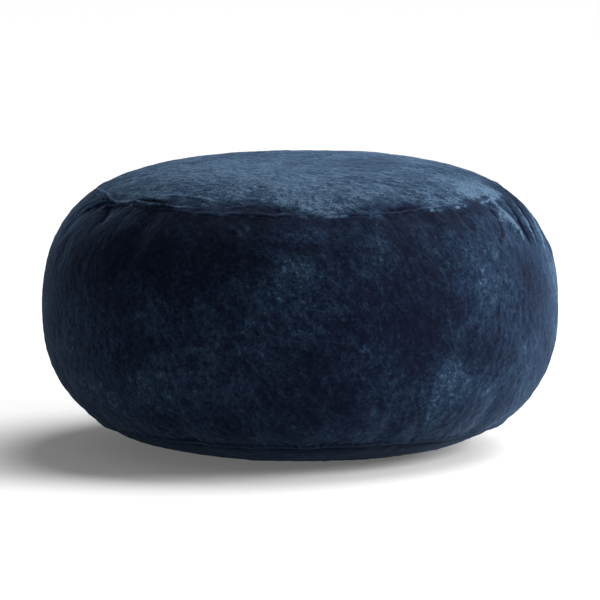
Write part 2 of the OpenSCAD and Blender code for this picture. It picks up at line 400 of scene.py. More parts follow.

# Creases, listed: turn and place in degrees along each, rise and half width in millimetres
CREASES = (
    # The crumpled ridge that runs along the top seam on the left
    (((176, 41.4), (186, 40.4), (197, 39.8), (204, 41.6), (208, 42), (213, 40.4)), 4.6, 2.6),
    (((209, 41.4), (216, 39), (223, 40.4), (227, 39.4), (232, 39.9), (241, 38.2)), 4.8, 2.3),
    (((212, 39), (217, 37.4), (224, 37.3), (229, 37.8)), -3, 3),
    (((221, 34.6), (229, 32.6), (238, 33), (247, 34.4)), 2.4, 3.4),
    # Folds that run down from it on to the side
    (((203, 41.6), (200, 45.5), (195, 50), (191, 53)), 5.2, 4.6),
    (((199, 41.8), (196, 45), (191, 48.5)), -3.2, 4.6),
    (((214, 40.2), (208, 43.6), (203, 46.5)), 3.4, 3.6),
    (((206, 44), (209, 49), (210, 54)), -2.4, 8),
    # Pulls in the top panel beside the seam, right of the middle
    (((262, 41.4), (264, 39), (262, 36.5)), -1.6, 4.5),
    (((291, 41.3), (301, 39.2), (311, 38.4)), -2.4, 5),
    (((300, 41), (309, 40.2), (318, 39.6)), 1.8, 3.5),
    (((325, 41.2), (335, 39.7), (344, 39.6)), -1.8, 5),
    # Long slanting folds over the right shoulder
    (((343, 32), (337, 41), (336, 50), (337, 59), (337, 69)), 5, 7),
    (((348, 43), (342.6, 51), (340.4, 58), (340, 67)), -5, 4),
    (((353, 42), (346.5, 51), (343.2, 59), (342, 70)), 4.4, 3.8),
    (((358, 44), (350, 53), (346, 61), (345, 69)), -5, 4),
    (((4, 42), (355, 53), (350, 62), (348, 73)), 4.6, 4.4),
    (((332, 43.5), (333, 48.5), (330, 56.5), (323, 64)), -2.8, 4),
    # Low folds elsewhere, which keep the far side from looking pressed
    (((20, 41), (24, 46), (31, 52)), -2.6, 6.5),
    (((68, 40.6), (80, 39), (92, 40.4)), 2.4, 4),
    (((112, 42.8), (109, 48), (111, 55)), -2.2, 7),
    (((150, 41.2), (146, 38), (144, 34.5)), -2.2, 6),
    (((160, 43.2), (156, 50), (149, 57)), 2.4, 7),
)


def distance_to_line(points, line):
    """Each point's distance to a line, how far along it is, from 0 to 1, and whether it is on the line's
    right, seen from outside."""
    best = np.full(len(points), np.inf)
    share = np.zeros(len(points))
    on_right = np.zeros(len(points), dtype=bool)
    for number, (a, b) in enumerate(zip(line[:-1], line[1:])):
        along = np.clip((points - a) @ (b - a) / ((b - a) @ (b - a)), 0, 1)
        gap = np.linalg.norm(points - a - along[:, None] * (b - a), axis=1)
        closer = gap < best
        best[closer] = gap[closer]
        share[closer] = (number + along[closer]) / (len(line) - 1)
        rightwards = np.cross(b - a, points * (1, 1, 0))
        on_right[closer] = (((points - a) * rightwards).sum(axis=1) > 0)[closer]
    return best, share, on_right


def line_on_surface(places):
    """The points of a line given as (turn, place) pairs."""
    turns, outline_places = np.array(places, dtype=float).T
    return on_surface(np.array([arc_at(place) for place in outline_places]), turns, 0)


def crease_rise(points):
    """The rise of all the listed creases, which fade out at both ends."""
    rise = np.zeros(len(points))
    for places, height, half_width in CREASES:
        wander = 0.4 * half_width * MM * noise(points, 14 * MM, places[0][0])
        gap, share, _ = distance_to_line(points, line_on_surface(places))
        uneven = 1 + 0.35 * noise(points, 16 * MM, places[-1][0] + 5)
        shape = fading_ends(share, 0.18, 0.7) * uneven * hump(gap + wander, half_width * MM)
        rise += height * MM * shape
    return rise


def gather_rise(arc, turn):
    """Short gathers that run off both round seams."""
    rise = np.zeros(len(arc))
    ring = round_ring(turn)
    for seam, seed in ((TOP_SEAM, 31), (BASE_SEAM, 37)):
        gap = np.abs(arc - seam)
        pull = noise(ring, 17 * MM, seed) + 0.6 * noise(ring, 41 * MM, seed + 1)
        reach = (13 + 8 * noise(ring, 60 * MM, seed + 2)) * MM
        rise += 0.9 * MM * pull * np.exp(-gap / np.maximum(reach, 4 * MM)) * smooth_step(gap, 0, 3 * MM)
    return rise


def seam_lips(arc):
    """The rolled lips along both round seams, and the base panel tucked under the side panel's."""
    gap = arc - BASE_SEAM
    base = np.where(gap < 0, LIP * hump(gap + 5 * MM, 6 * MM), -TUCK * hump(gap, 16 * MM))
    return base + TOP_LIP * hump(arc - TOP_SEAM + 5 * MM, 5 * MM)


def soft_rise(arc, turn):
    """The smooth part of the rise, which the inner layers share."""
    points = on_surface(arc, turn, 0)
    stuffing = STUFFING * layered_noise(points, 170 * MM, 41, 2)
    rise = CLOTH_SHARE * cloth_rise(points) + stuffing + crease_rise(points)
    rise += gather_rise(arc, turn) + seam_lips(arc)
    return rise * freedom(arc, turn)


# ---- The pile ----

def nap_direction(points, arc, turn):
    """The way the pile leans: across the top panel, and down the sides, wandering slowly."""
    facing = on_surface(arc, turn, 1) - on_surface(arc, turn, 0)
    on_top = (1 - smooth_step(arc, TOP_SEAM - 1 * MM, TOP_SEAM + 1 * MM))[:, None]
    lean = on_top * np.array([0.9, -0.45, 0]) + (1 - on_top) * np.array([0.15, 0.1, -1])
    lean = lean - (lean * facing).sum(axis=1)[:, None] * facing
    lean /= np.linalg.norm(lean, axis=1)[:, None] + 1e-9
    angle = (1.3 * layered_noise(points, 150 * MM, 51, 2))[:, None]
    return np.cos(angle) * lean + np.sin(angle) * np.cross(facing, lean)


def streaks(points, direction, width, length, seed):
    """Noise drawn out along the pile, as the clumps of a brushed plush are."""
    steps = np.linspace(-0.5, 0.5, 5)
    total = sum(noise(points + step * length * direction, width, seed) for step in steps)
    return total / len(steps) * 1.6


# Patches of the pile's tone, lighter or darker: turn, place, half width and half height in millimetres,
# strength. Most are the plush's own uneven brushing. The light ones on the right, at turns 335 to 352, are
# painted light from the lamp on the right. The dark ones along the top panel's front edge, at places 36 to
# 38, and the one on the left shoulder at turn 202 are painted shade.
TONE_AND_LIGHT_PATCHES = (
    (270, 77, 62, 40, 0.4), (262, 92, 60, 20, 0.35), (283, 66, 45, 16, 0.15),
    (240, 60, 130, 60, -0.6), (222, 72, 80, 60, -0.5), (285, 112, 70, 55, -0.45), (205, 60, 70, 60, -0.35),
    (243, 104, 110, 30, 0.65), (222, 118, 90, 35, 0.75), (270, 58, 80, 16, -0.6), (308, 84, 60, 110, 0.4),
    (315, 112, 70, 45, 0.55), (322, 78, 60, 60, 0.5), (289, 82, 36, 60, -0.4),
    (250, 122, 60, 25, -0.35), (335, 98, 60, 80, 0.6), (190, 105, 50, 90, 0.5),
    (252, 37.5, 80, 22, -1.5), (293, 38, 74, 20, -1.25), (276, 34, 22, 24, 0.1), (230, 36, 60, 16, -0.5),
    (316, 52, 50, 55, -0.35), (202, 50, 60, 32, -1.0), (346, 60, 60, 90, 0.6), (341, 41, 70, 36, 1.4),
    (352, 84, 60, 90, 1.4), (318, 70, 40, 60, 0.4), (222, 34, 50, 14, 0.5),
    (40, 80, 90, 60, 0.5), (75, 105, 80, 50, -0.6), (100, 70, 70, 45, 0.6), (140, 95, 90, 60, 0.4),
)

# Strokes of a hand that leave a crisp edge: turn and place along each, with the light side on the right,
# how far the light side reaches in millimetres, strength
STROKES = (
    (((255.6, 95.5), (259, 80.2), (261.4, 68.8), (267.8, 63), (277.2, 65.7)), 40, 0.45),
    (((303.4, 137.7), (300.8, 113), (301.4, 101.2), (306.4, 92.7)), 55, 0.6),
    (((229, 118), (233, 96), (245, 91.8), (254, 95)), 40, 0.35),
    (((318, 104), (322, 82), (330, 72)), 45, 0.4),
    (((323, 64), (330, 56.5), (333, 48.5), (330, 41), (324, 36)), 50, 0.7),
    (((58, 118), (63, 92), (60, 70)), 55, 0.5),
    (((128, 112), (122, 88), (131, 66)), 45, 0.4),
    (((190, 118), (186, 96), (178, 78)), 50, 0.4),
)


def stroke_share(points):
    """How far the strokes brush the pile up."""
    total = np.zeros(len(points))
    ragged = 2.5 * MM * noise(points, 9 * MM, 77)
    for places, reach, strength in STROKES:
        gap, share, on_right = distance_to_line(points, line_on_surface(places))
        side = np.where(on_right, gap, -gap) + ragged
        brushed = fading_ends(share, 0.2, 0.8) * smooth_step(side, -1 * MM, 3 * MM)
        total += strength * brushed * np.exp(-gap / (reach * MM))
    return total


def patch_tone_and_light(arc, turn):
    """How much lighter or darker the listed patches make the pile: its own brushed tone, with painted light
    and painted shade.
    """
    share = np.zeros(len(arc))
    for centre, place, half_width, half_height, strength in TONE_AND_LIGHT_PATCHES:
        across = np.radians(turn_gap(turn, centre)) * RADIUS
        down = arc - arc_at(place)
        share += strength * hump(across, half_width * MM) * hump(down, half_height * MM)
    return share


def seam_tone_light_and_shade(arc, turn):
    """Painted light over the top panel, where the light from above falls, lighter stretches just inside the
    top seam, and painted shade in a band under the top seam and over the base panel."""
    ring = round_ring(turn)
    stretch = smooth_step(noise(ring, 26 * MM, 83) + 0.6 * noise(ring, 9 * MM, 84), -0.2, 0.8)
    splayed = stretch * hump(arc - TOP_SEAM + 1.5 * MM, 2.6 * MM)
    shaded = hump(arc - TOP_SEAM - 10 * MM, 13 * MM)
    # Painted shade: the base panel is made darker, as it faces down, away from the light
    base = smooth_step(arc, BASE_SEAM - 1 * MM, BASE_SEAM + 1 * MM)
    # Painted light: the top panel is made lighter, as the light from above falls on it
    edge = arc + 22 * MM * noise(ring, 55 * MM, 87) + 9 * MM * noise(ring, 17 * MM, 88)
    painted_top_light = 1 - smooth_step(edge, TOP_SEAM - 24 * MM, TOP_SEAM + 6 * MM)
    return painted_top_light + 1.2 * splayed - 0.5 * shaded - 0.7 * base


def pile(arc, turn):
    """The pile's fine rise, and its tone from 0, dark, to 1, light: the pile's own uneven brushing, with
    painted light and painted shade added from the patches, the creases and the seams.
    """
    points = on_surface(arc, turn, 0)
    direction = nap_direction(points, arc, turn)
    clumps = streaks(points, direction, 4 * MM, 7 * MM, 61)
    tufts = streaks(points, direction, 9 * MM, 16 * MM, 67)
    grain = noise(points, 6 * MM, 73)
    rise = (0.3 * clumps + 0.5 * tufts + 0.4 * grain) * MM
    patches = 1.1 * layered_noise(points, 130 * MM, 71, 5, 0.75) + 0.6 * patch_tone_and_light(arc, turn)
    # The creases' rise lightens their crests and darkens their grooves: painted highlights and painted
    # shade
    ragged = 0.2 * tufts + 0.22 * clumps + 0.35 * grain + crease_rise(points) / (3.3 * MM)
    nap_and_light = smooth_step(patches + ragged + stroke_share(points) + seam_tone_light_and_shade(arc, turn), -1.5, 2.1)
    return rise, nap_and_light


# ---- Cover panels ----

ROLL = 3.4 * MM            # radius of a panel's rolled edge at a seam
HALF_GAP = 0.02 * MM       # half of the clearance between two sewn edges, which the pile hides
EDGE_STEPS = np.array([0, 0.15, 0.6, 1.4, 2.4, 3.6]) * MM
UPRIGHT_SHARE = 0.05       # how open the upright seams lie under the pile
HEM_DEPTH = 5 * MM
ZIP_HEM_DEPTH = 4.2 * MM
INNER_STEP = 14 * MM
SIDE_STEP = 2.75 * MM
INNER_INSET = 1 * MM
BACKING_NAP = 0.3          # nap of the panels' inner sides


def rolled(distance, share=1):
    """Depth of a rolled edge at a distance from it. The pile closes over a seam whose share is small."""
    left = ROLL - np.clip(distance, 0, ROLL)
    return share * (ROLL - np.sqrt(np.maximum(ROLL ** 2 - left ** 2, 0)))


def top_seam_share(turn):
    """How open the top seam lies, which the pile hides in places."""
    return np.clip(0.18 + 0.4 * layered_noise(round_ring(turn), 90 * MM, 81, 2), 0.05, 1)


def hem_depth(turn):
    """Depth of the short wall along a seam, which is shallow where the zip's tape passes under it."""
    return np.where(zip_share(turn) > 0, ZIP_HEM_DEPTH, HEM_DEPTH)


def opening(turn):
    """Half of the gap between the panels at the base seam: wide over the chain, closed past its stops."""
    return HALF_GAP + (ZIP_HALF_OPENING - HALF_GAP) * zip_share(turn, -2.2, 1.8)


def stitch(outer, inner):
    """Triangles between two lines of points with different counts."""
    faces = []
    i = j = 0
    while i < len(outer) - 1 or j < len(inner) - 1:
        next_outer = (i + 1) / (len(outer) - 1)
        next_inner = (j + 1) / (len(inner) - 1)
        if j == len(inner) - 1 or (i < len(outer) - 1 and next_outer <= next_inner):
            faces.append((outer[i], outer[i + 1], inner[j]))
            i += 1
        else:
            faces.append((outer[i], inner[j + 1], inner[j]))
            j += 1
    return faces


def turn_out(piece):
    """Makes all faces of a closed piece look outwards."""
    editing = bmesh.new()
    editing.from_mesh(piece.data)
    bmesh.ops.recalc_face_normals(editing, faces=editing.faces)
    editing.to_mesh(piece.data)
    editing.free()
    piece.data.shade_smooth()


def panel_points(arc, turn, depth, fine):
    """Points of a panel at a depth under its shaped surface, and their tone, which holds painted light and
    shade. Only the pile side is fine.
    """
    rise = soft_rise(arc, turn)
    nap_and_light = np.full(len(arc), BACKING_NAP)
    pile_rise, nap_and_light[fine] = pile(arc[fine], turn[fine])
    rise[fine] += pile_rise
    points = on_surface(arc, turn, rise - depth)
    points[:, 2] = np.maximum(points[:, 2], np.where(fine, 0, depth))
    return points, nap_and_light


def panel_piece(name, node, arc, turn, depth, fine, faces):
    """One panel of the cover, as a closed piece that stands for its CAD node."""
    points, nap_and_light = panel_points(arc, turn, depth, fine)
    piece = make_mesh(name, points, faces)
    piece.data.attributes.new("nap_and_light", "FLOAT", "POINT").data.foreach_set("value", nap_and_light.astype(np.float32))
    turn_out(piece)
    piece.data.set_sharp_from_angle(angle=math.radians(55))
    finish_piece(piece, "plush", [node])


def disc_panel(name, node, seam_arc, rings, from_base):
    """A round panel: a disc of rings, a rolled edge, a short wall and a coarse inner side."""
    share, turn = disc_points(rings)
    around = 6 * rings
    ring_turn = turn[-around:]
    reach = seam_arc - (opening(turn) if from_base else np.full(len(turn), HALF_GAP))
    span = reach - EDGE_STEPS[-1]
    rim = reach[-around:]
    seam_share = 1 if from_base else top_seam_share(ring_turn)
    hem = hem_depth(ring_turn) if from_base else np.full(around, HEM_DEPTH)
    inner_share, inner_turn = disc_points(rings // 6)
    inner_reach = np.interp(inner_turn, ring_turn, rim, period=360) - INNER_INSET
    layers = [(share * span, turn, rolled(reach - share * span), True)]
    layers += [(rim - step, ring_turn, np.full(around, rolled(step, seam_share)), True)
               for step in EDGE_STEPS[-2::-1]]
    layers += [(rim, ring_turn, hem, False)]
    layers += [(inner_share * inner_reach, inner_turn, np.full(len(inner_turn), PLUSH), False)]
    starts = np.cumsum([0] + [len(layer[0]) for layer in layers])
    wall = list(range(starts[-2] - around, starts[-2]))
    edge = list(range(starts[-1] - 6 * (rings // 6), starts[-1]))
    faces = disc_faces(rings)
    faces += band_faces(len(layers) - 1, around, True, starts[1] - around)
    faces += stitch(wall + wall[:1], edge + edge[:1])
    faces += disc_faces(rings // 6, starts[-2])
    arc, turns, depth = (np.concatenate([layer[i] for layer in layers]) for i in range(3))
    fine = np.repeat([layer[3] for layer in layers], np.diff(starts))
    panel_piece(name, node, ARC_END - arc if from_base else arc, turns, depth, fine, faces)


def spaced(length, step):
    """Distances from 0 to a length, close at both ends and even between."""
    last = EDGE_STEPS[-1]
    middle = np.linspace(last, length - last, round((length - 2 * last) / step) + 1)
    return np.concatenate([EDGE_STEPS[:-1], middle, length - EDGE_STEPS[-2::-1]])


def grid_rim(rows, columns, first):
    """The four sides of a grid of points, in order round it."""
    grid = first + np.arange(rows * columns).reshape(rows, columns)
    return [list(grid[0]), list(grid[:, -1]), list(grid[-1, ::-1]), list(grid[::-1, 0])]


def side_grid(from_turn, across, down, inset):
    """Arcs and turns of a side panel's grid, whose lower edge follows the zip."""
    turn = from_turn + np.degrees((across + HALF_GAP) / RADIUS)
    upper = TOP_SEAM + HALF_GAP + inset
    lower = BASE_SEAM - opening(turn) - inset
    share = down / down[-1]
    arc = upper + share[:, None] * (lower - upper)
    return arc, np.broadcast_to(turn, arc.shape)


def side_panel(name, node, from_turn):
    """Half of the side wall: a fine outer grid, a short wall and a coarse inner grid."""
    width = math.pi * RADIUS - 2 * HALF_GAP
    height = BASE_SEAM - TOP_SEAM - 2 * HALF_GAP
    across = spaced(width, SIDE_STEP)
    down = spaced(height, SIDE_STEP)
    arc, turn = side_grid(from_turn, across, down, 0)
    from_side = np.minimum(across, width - across)
    to_lower = (BASE_SEAM - opening(turn)) - arc
    upper_roll = rolled(arc - TOP_SEAM - HALF_GAP, top_seam_share(turn))
    depth = np.maximum(np.maximum(upper_roll, rolled(to_lower)), rolled(from_side, UPRIGHT_SHARE)[None, :])
    faces = band_faces(*arc.shape, False)
    wall_first = arc.size
    outer_rim = grid_rim(*arc.shape, 0)
    rim = [point for side in outer_rim for point in side[:-1]]
    count = len(rim)
    faces += [(rim[i], rim[(i + 1) % count], wall_first + (i + 1) % count, wall_first + i)
              for i in range(count)]
    inner_across = np.linspace(INNER_INSET, width - INNER_INSET, round(width / INNER_STEP))
    inner_down = np.linspace(0, height, round(height / INNER_STEP))
    inner_arc, inner_turn = side_grid(from_turn, inner_across, inner_down, INNER_INSET)
    inner_first = wall_first + count
    faces += [face[::-1] for face in band_faces(*inner_arc.shape, False, inner_first)]
    place = 0
    for side, inner_side in zip(outer_rim, grid_rim(*inner_arc.shape, inner_first)):
        wall_side = [wall_first + (place + k) % count for k in range(len(side))]
        faces += stitch(wall_side, inner_side)
        place += len(side) - 1
    arcs = np.concatenate([arc.ravel(), arc.ravel()[rim], inner_arc.ravel()])
    turns = np.concatenate([turn.ravel(), turn.ravel()[rim], inner_turn.ravel()])
    depths = np.concatenate([depth.ravel(), hem_depth(turn.ravel()[rim]), np.full(inner_arc.size, PLUSH)])
    fine = np.arange(len(arcs)) < wall_first
    panel_piece(name, node, arcs, turns, depths, fine, faces)


# ---- Shapes swept along lines ----

def unit(vectors):
    return vectors / (np.linalg.norm(vectors, axis=-1)[..., None] + 1e-12)


def tubes(paths, guides, radius, sides=6):
    """Points and faces of round tubes along equally long paths, none of which runs along its guides."""
    ahead = np.gradient(paths, axis=1)
    across = unit(np.cross(ahead, guides))
    up = unit(np.cross(across, ahead))
    angle = np.arange(sides) * 2 * np.pi / sides
    ring = np.cos(angle)[:, None] * across[:, :, None] + np.sin(angle)[:, None] * up[:, :, None]
    points = paths[:, :, None] + np.broadcast_to(radius, paths.shape[1])[:, None, None] * ring
    index = np.arange(points[..., 0].size).reshape(points.shape[:-1])
    near, far = index[:, :-1], index[:, 1:]
    quads = np.stack([near, far, np.roll(far, -1, axis=2), np.roll(near, -1, axis=2)], axis=-1)
    faces = quads.reshape(-1, 4).tolist() + index[:, 0].tolist() + index[:, -1, ::-1].tolist()
    return points.reshape(-1, 3), faces


def tube_piece(name, shapes):
    """One mesh of several (points, faces) shapes."""
    points = np.concatenate([shape[0] for shape in shapes])
    firsts = np.cumsum([0] + [len(shape[0]) for shape in shapes])
    faces = []
    for (_, shape_faces), first in zip(shapes, firsts):
        faces += [[i + first for i in face] for face in shape_faces]
    piece = make_mesh(name, points, faces)
    turn_out(piece)
    return piece


def swept_strip(name, place, along, across, out):
    """A closed strip with real-size UVs. Row i of across and out is its section at distance along[i]."""
    count = across.shape[1]
    points = place(np.repeat(along, count), across.ravel(), out.ravel())
    faces = band_faces(len(along), count, True)
    last = (len(along) - 1) * count
    faces += [tuple(range(count)), tuple(range(last + count - 1, last - 1, -1))]
    piece = make_mesh(name, points, faces)
    turn_out(piece)
    uv = np.stack([np.repeat(along, count), across.ravel()], axis=-1)
    corner = np.empty(len(piece.data.loops), dtype=np.int64)
    piece.data.loops.foreach_get("vertex_index", corner)
    piece.data.uv_layers.new(name="real_size").data.foreach_set("uv", uv[corner].ravel())
    return piece


# ---- Seam threads ----

STITCH_PITCH = 3.6 * MM
STITCH_LENGTH = 3.1 * MM
THREAD_RADIUS = 0.36 * MM
THREAD_DEPTH = 4.3 * MM
STITCH_SHAPE = np.array([0.35, 0.85, 1, 0.85, 0.35]) * THREAD_RADIUS


def stitch_row(arcs, turns, arc_way, turn_way):
    """Stitches centred on the given places, lying along a seam."""
    share = np.linspace(-0.5, 0.5, len(STITCH_SHAPE))
    arc = arcs[:, None] + share * STITCH_LENGTH * arc_way
    seam_radius = np.hypot(*on_surface(arcs, turns, 0)[:, :2].T)
    turn = turns[:, None] + share * np.degrees(STITCH_LENGTH * turn_way / seam_radius)[:, None]
    dip = 0.25 * MM * (2 * share) ** 2
    rise = soft_rise(arc.ravel(), turn.ravel()).reshape(arc.shape) - THREAD_DEPTH - dip
    paths = on_surface(arc, turn, rise)
    guides = on_surface(arc, turn, rise + MM) - paths
    return tubes(paths, guides, STITCH_SHAPE)


def round_stitches(seam, spans):
    """Rows of stitches along a round seam, over spans of turns."""
    pitch = math.degrees(STITCH_PITCH / math.hypot(*on_surface(seam, 0.0, 0)[:2]))
    rows = []
    for start, end in spans:
        turns = np.linspace(start, end, round((end - start) / pitch) + 1)[:-1]
        rows.append(stitch_row(np.full(len(turns), seam), turns, 0, 1))
    return rows


def upright_stitches(turn, end):
    arcs = np.linspace(TOP_SEAM + 4 * MM, end, round((end - TOP_SEAM) / STITCH_PITCH))
    return stitch_row(arcs, np.full(len(arcs), float(turn)), 1, 0)


def make_seam_threads():
    rows = {
        "cover_top_seam_thread": round_stitches(TOP_SEAM, [(0, 360)]),
        "cover_base_seam_thread": round_stitches(BASE_SEAM, [(147, 152), (158.5, 373.5)]),
        "cover_side_seam_threads": [
            upright_stitches(SIDE_SEAM_TURN, BASE_SEAM - 10 * MM),
            upright_stitches(SIDE_SEAM_TURN - 180, BASE_SEAM - 19 * MM),
        ],
    }
    for node, shapes in rows.items():
        finish_piece(tube_piece(node + "_stitches", shapes), "thread", [node])


# ---- Zips ----

CHAIN_DEPTH = 4.6 * MM
ZIP_CHAIN = (17, 143)                 # turns where the closed chain ends and begins
ZIP_TAPE = (14.4, 145.6)
TAPES_MEET = 0.15 * MM                # half of the gap between the tapes past the chain
METAL_ROUNDING = 0.18 * MM
PULL_ROUNDING = 0.3 * MM
LINER_CHAIN_Z = 8.3 * MM
LINER_ZIP_HALF = 180 * MM
LINER_TAPE_HALF = LINER_ZIP_HALF + 8 * MM
COVER_COIL = {"width": 2.8 * MM, "thickness": 2.2 * MM, "wire": 0.33 * MM, "pitch": 1.5 * MM}
LINER_COIL = {"width": 1.8 * MM, "thickness": 1.6 * MM, "wire": 0.25 * MM, "pitch": 1.2 * MM}
COVER_TAPE = {"near": 2.6 * MM, "far": 17 * MM, "thickness": 0.6 * MM, "step": 2 * MM}
LINER_TAPE = {"near": 1.7 * MM, "far": 12 * MM, "thickness": 0.4 * MM, "step": 4 * MM}
ZIP_RADIUS = math.hypot(*on_surface(BASE_SEAM, 0.0, -CHAIN_DEPTH)[:2])


def on_zip(along, across, out):
    """The cover zip: along is measured round the cushion from +X, across towards the base."""
    return on_surface(BASE_SEAM + across, np.degrees(along / ZIP_RADIUS), out - CHAIN_DEPTH)


def on_liner_zip(along, across, out):
    """The liner's straight zip under the middle of the base: along is +X, across is +Y, out is down."""
    return np.stack([along, across, LINER_CHAIN_Z - out], axis=-1)


def coil_piece(name, place, chain, side, width, thickness, wire, pitch):
    """A zip coil: one spiral of wire, flattened, whose loops alternate with those across the chain."""
    start, end = chain
    loops = round((end - start) / pitch)
    phase = np.linspace(0, 2 * np.pi * loops, 12 * loops + 1)
    along = start + (end - start) * phase / phase[-1]
    lag = 0 if side > 0 else np.pi
    across = side * (width / 2 + 0.1 * MM + (width / 2 - wire) * np.cos(phase + lag))
    path = place(along, across, (thickness / 2 - wire) * np.sin(phase + lag))
    guides = place(along + MM, 0 * along, 0 * along) - place(along, 0 * along, 0 * along)
    return tube_piece(name, [tubes(path[None], guides[None], wire, 5)])


def tape_piece(name, place, ends, chain, side, near, far, thickness, step):
    """A woven tape, ridged beside the coil and at its far edge. Past the chain the two tapes meet."""
    along = np.linspace(*ends, round((ends[1] - ends[0]) / step) + 1)
    past_chain = (along < chain[0]) | (along > chain[1])
    inner_edge = np.where(past_chain, TAPES_MEET, near)
    share = np.linspace(0, 1, 12)
    width = far - near
    ridge = hump(share * width - 0.8 * MM, 0.7 * MM) + hump((1 - share) * width - 0.5 * MM, 0.5 * MM)
    half = thickness * (0.3 + 0.2 * np.clip(ridge, 0, 1))
    half[[0, -1]] *= 0.5
    across = inner_edge[:, None] + share * (far - inner_edge[:, None])
    across = side * np.concatenate([across, across[:, ::-1]], axis=1)
    out = np.broadcast_to(np.concatenate([half, -half[::-1]]), across.shape)
    return swept_strip(name, place, along, across, out)


def bevelled(node, body=BODY, width=METAL_ROUNDING):
    """A metal part as a copy of its CAD node with its edges rounded off."""
    mesh = frame["nodes"][node].data.copy()
    editing = bmesh.new()
    editing.from_mesh(mesh)
    bmesh.ops.remove_doubles(editing, verts=editing.verts, dist=0.002 * MM)
    bmesh.ops.dissolve_limit(editing, angle_limit=math.radians(2), verts=editing.verts, edges=editing.edges)
    editing.to_mesh(mesh)
    editing.free()
    mesh.materials.clear()
    piece = add_object(node + "_finished", mesh)
    rounding = piece.modifiers.new("rounding", "BEVEL")
    rounding.width = width
    rounding.segments = 3
    rounding.limit_method = "ANGLE"
    rounding.angle_limit = math.radians(40)
    rounding.use_clamp_overlap = False
    apply_modifiers(piece)
    piece.data.shade_smooth()
    piece.data.set_sharp_from_angle(angle=math.radians(35))
    finish_piece(piece, "zip_metal", [node], body)


def make_coils_and_tapes(name, node, place, chain, ends, sides, coil_size, tape_size):
    """The two coils and two tapes of a zip. Their slots are called as their CAD nodes are."""
    for side, side_name in zip((-1, 1), sides):
        coil = coil_piece(f"{name}_coil_{side_name}", place, chain, side, **coil_size)
        finish_piece(coil, f"{node}_coil", [f"{node}_coil_{side_name}"])
        tape = tape_piece(f"{name}_tape_{side_name}", place, ends, chain, side, **tape_size)
        finish_piece(tape, f"{node}_tape", [f"{node}_tape_{side_name}"])


def make_cover_zip():
    chain, ends = ([math.radians(turn) * ZIP_RADIUS for turn in turns] for turns in (ZIP_CHAIN, ZIP_TAPE))
    make_coils_and_tapes("cover_zip", "zip", on_zip, chain, ends, ("side", "base"), COVER_COIL, COVER_TAPE)
    for node in ("zip_top_stops", "zip_bottom_stop"):
        bevelled(node)
    bevelled("zip_slider", "zip_slider")
    bevelled("zip_pull_tab", "zip_pull_tab", PULL_ROUNDING)


def make_liner_zip():
    chain, ends = ((-half, half) for half in (LINER_ZIP_HALF, LINER_TAPE_HALF))
    make_coils_and_tapes("inner_zip", "liner_zip", on_liner_zip, chain, ends, ("front", "back"),
                         LINER_COIL, LINER_TAPE)
    bevelled("liner_zip_stops")
    bevelled("liner_zip_slider", "liner_zip_slider")


# ---- Care label ----

LABEL_HALF_TURN = 2.54
LABEL_DROP = 26 * MM
LABEL_REACH = 3 * MM
LABEL_THICK = 0.3 * MM
LABEL_BEND = 5 * MM
LABEL_WAVE = 0.6 * MM


def label_line(turn):
    """The label's path in one upright plane: out of the seam, over a soft bend and down."""
    root = on_surface(BASE_SEAM, turn, -PLUSH)
    exit_point = on_surface(BASE_SEAM, turn, LABEL_REACH)
    outwards = unit(exit_point * np.array([1, 1, 0]))
    start = (root + exit_point) / 2
    bend_end = exit_point - np.array([0, 0, LABEL_BEND])
    share = np.linspace(0, 1, 9)[1:, None]
    bend = (1 - share) ** 2 * start + 2 * share * (1 - share) * exit_point + share ** 2 * bend_end
    fall = np.linspace(0, 1, 14)[1:, None] * (LABEL_DROP - LABEL_BEND)
    down = bend_end - fall * np.array([0, 0, 1]) + LABEL_WAVE * np.sin(fall / (5 * MM)) * outwards
    return np.concatenate([[root, start], bend, down])


def make_care_label():
    turns = np.linspace(LABEL_TURN - LABEL_HALF_TURN, LABEL_TURN + LABEL_HALF_TURN, 15)
    lines = np.array([label_line(turn) for turn in turns])
    rows, columns = lines.shape[:2]
    label = make_mesh("blank_care_label", lines.reshape(-1, 3), band_faces(rows, columns, False))
    thicken(label, LABEL_THICK)
    turn_out(label)
    finish_piece(label, "label", ["care_label"])


# ---- Liner bag and filling ----

LINER_DEPTH = 7.5 * MM
LINER_THICK = 0.5 * MM
LINER_GAP = 0.2 * MM
OVERLOCK_DEPTH = 8.5 * MM
OVERLOCK_REACH = 1.2 * MM
OVERLOCK_RADIUS = 0.22 * MM
FOAM_DEPTH = 9.2 * MM


def crumple(points, size, seed):
    """0 on a net of sharp creases and 1 on the rounded ground between them."""
    return np.clip(np.abs(noise(points, size, seed)) * 2.4, 0, 1)


def liner_points(arc, turn):
    points = on_surface(arc, turn, 0)
    wrinkle = 0.35 * MM * (crumple(points, 34 * MM, 91) + crumple(points, 15 * MM, 92) - 1)
    placed = on_surface(arc, turn, soft_rise(arc, turn) - LINER_DEPTH + wrinkle * freedom(arc, turn))
    placed[:, 2] = np.maximum(placed[:, 2], LINER_DEPTH)
    return placed


def liner_piece(name, node, arc, turn, faces):
    piece = make_mesh(name, liner_points(arc, turn), faces)
    thicken(piece, LINER_THICK)
    if node == "liner_base_panel":
        cut_slot(piece, LINER_ZIP_HALF + 4 * MM, 5 * MM, 12 * MM)
    turn_out(piece)
    finish_piece(piece, "liner_cloth", [node])


def cut_slot(piece, half_length, half_width, height):
    """Cuts the room for the liner's zip out of the underside of a closed piece."""
    bpy.ops.mesh.primitive_cube_add(size=1)
    box = bpy.context.object
    box.scale = (2 * half_length, 2 * half_width, height)
    box.location = (0, 0, height / 2)
    bpy.context.view_layer.update()
    cut = piece.modifiers.new("cut", "BOOLEAN")
    cut.object = box
    cut.operation = "DIFFERENCE"
    cut.solver = "EXACT"
    apply_modifiers(piece)
    bpy.data.objects.remove(box)


